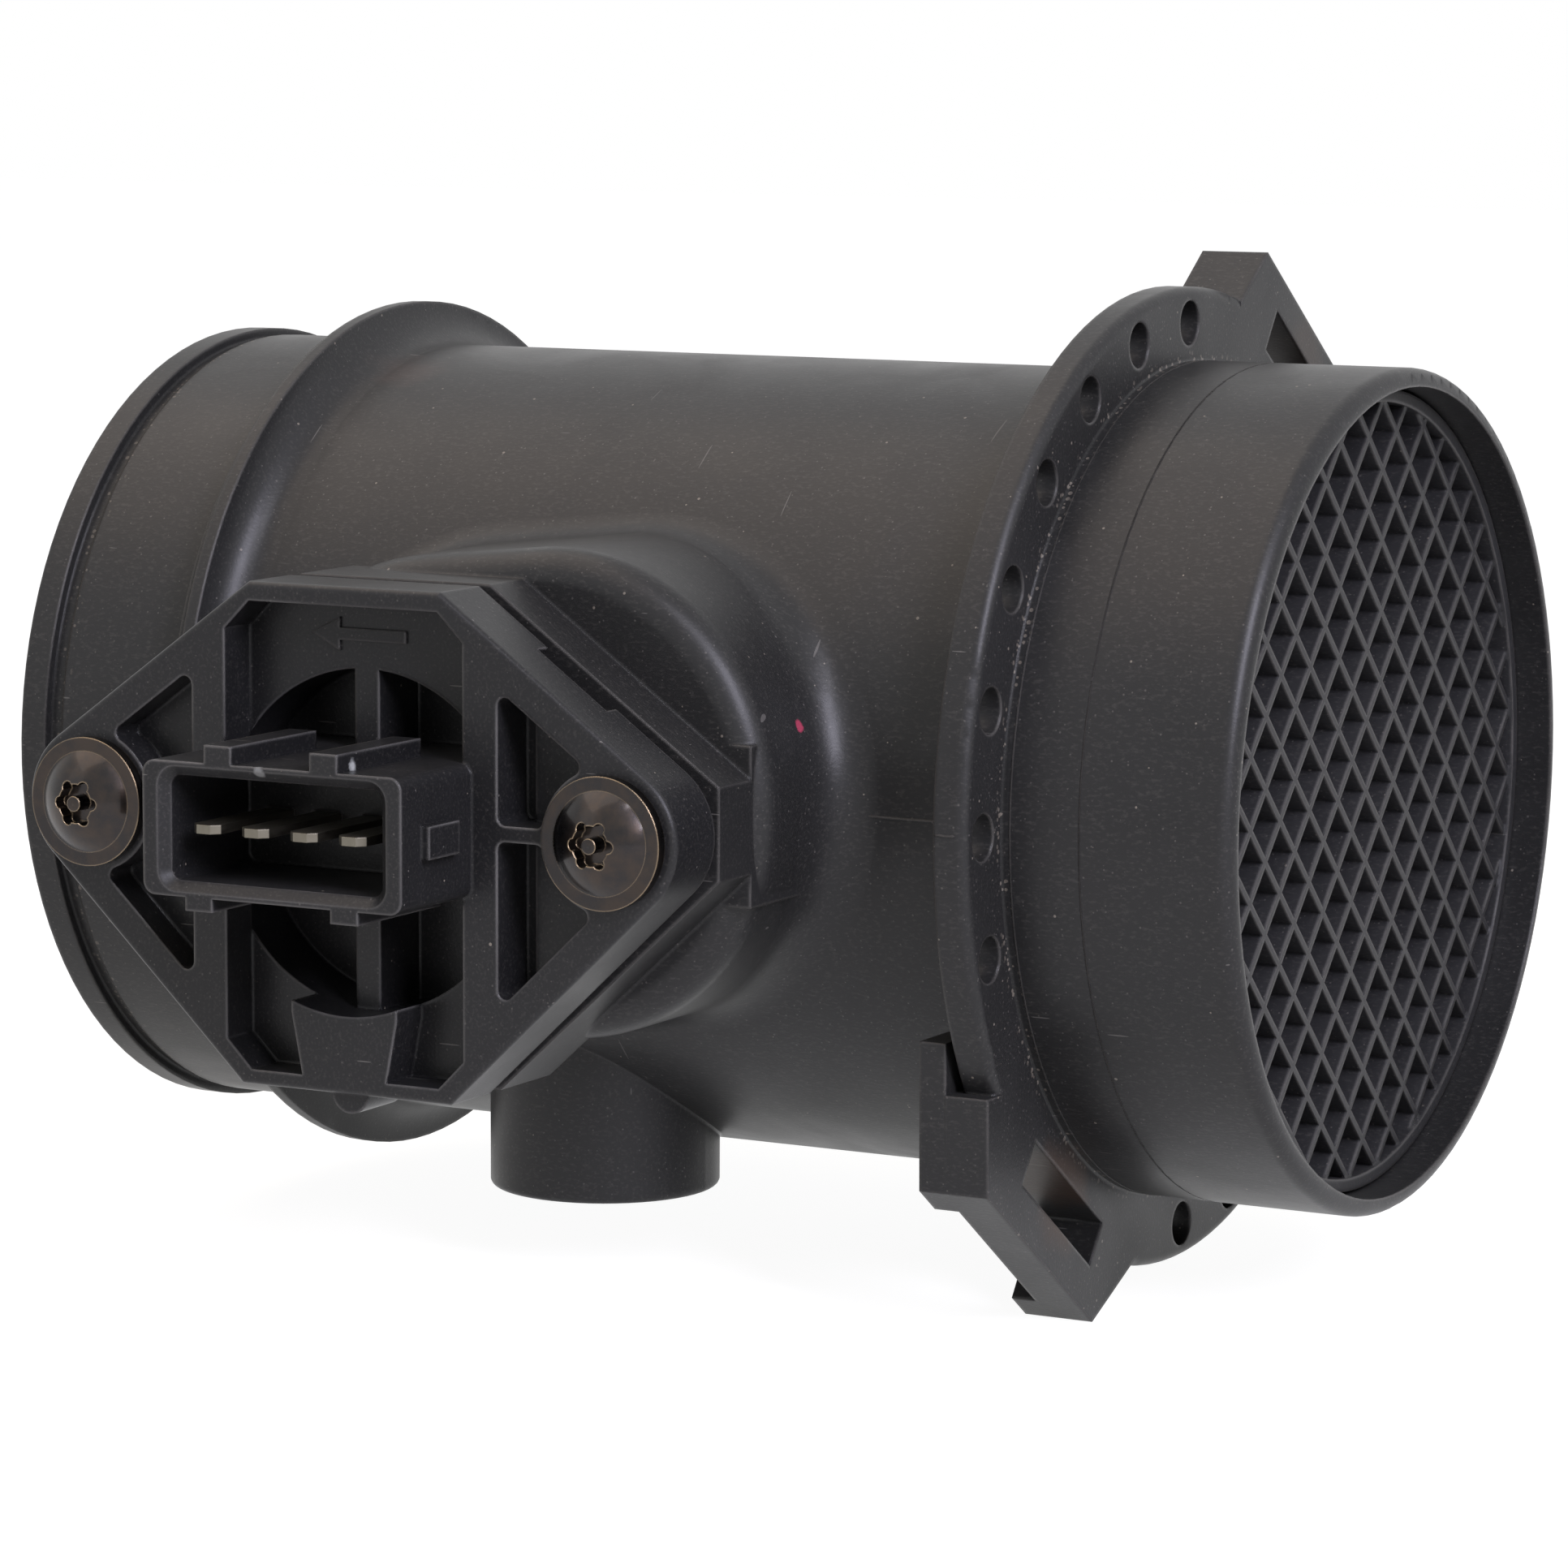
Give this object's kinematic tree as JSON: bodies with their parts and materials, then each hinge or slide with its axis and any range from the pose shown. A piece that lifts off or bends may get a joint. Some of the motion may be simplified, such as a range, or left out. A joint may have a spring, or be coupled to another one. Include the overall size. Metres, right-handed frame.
{
  "type": "mass airflow sensor",
  "caption": "Round flow tube with a grille at its inlet, a ring flange with clip ears, a side port, and a screwed-in hot film sensor with a flat plug socket.",
  "frame": {"origin": "on the tube axis, in the inlet side face of the ring flange", "axes": "+X along the tube towards the inlet grille, -Y towards the sensor and its socket, -Z along the side port"},
  "size_m": [0.1273, 0.1214, 0.0966],
  "materials": {
    "housing_nylon": "black glass filled nylon, moulded",
    "grille_nylon": "black nylon, moulded",
    "cover_nylon": "black glass filled nylon, moulded",
    "seal_rubber": "black nitrile rubber",
    "probe_plastic": "black polyester, moulded",
    "carrier_aluminium": "rolled aluminium",
    "board_ceramic": "white ceramic board",
    "chip_resin": "black moulding resin",
    "capacitor_ceramic": "tan ceramic",
    "film_glass": "thin glass with a metal film",
    "lead_tin": "tinned copper strip",
    "gel_silicone": "clear silicone gel",
    "terminal_metal": "tinned brass strip",
    "screw_steel": "dark zinc nickel plated steel",
    "insert_brass": "turned brass"
  },
  "bodies": {
    "root": {"tube_housing": "housing_nylon", "flow_grille": "grille_nylon", "sensor_cover": "cover_nylon", "cover_o_ring": "seal_rubber", "probe_blade": "probe_plastic", "probe_lid": "probe_plastic", "carrier_plate": "carrier_aluminium", "circuit_board": "board_ceramic", "control_chip": "chip_resin", "board_capacitors": "capacitor_ceramic", "sensing_film": "film_glass", "board_leads": "lead_tin", "sealing_gel": "gel_silicone", "terminal_1": "terminal_metal", "terminal_2": "terminal_metal", "terminal_3": "terminal_metal", "terminal_4": "terminal_metal", "cover_screw_left": "screw_steel", "threaded_insert_left": "insert_brass", "cover_screw_right": "screw_steel", "threaded_insert_right": "insert_brass"}
  },
  "joints": []
}
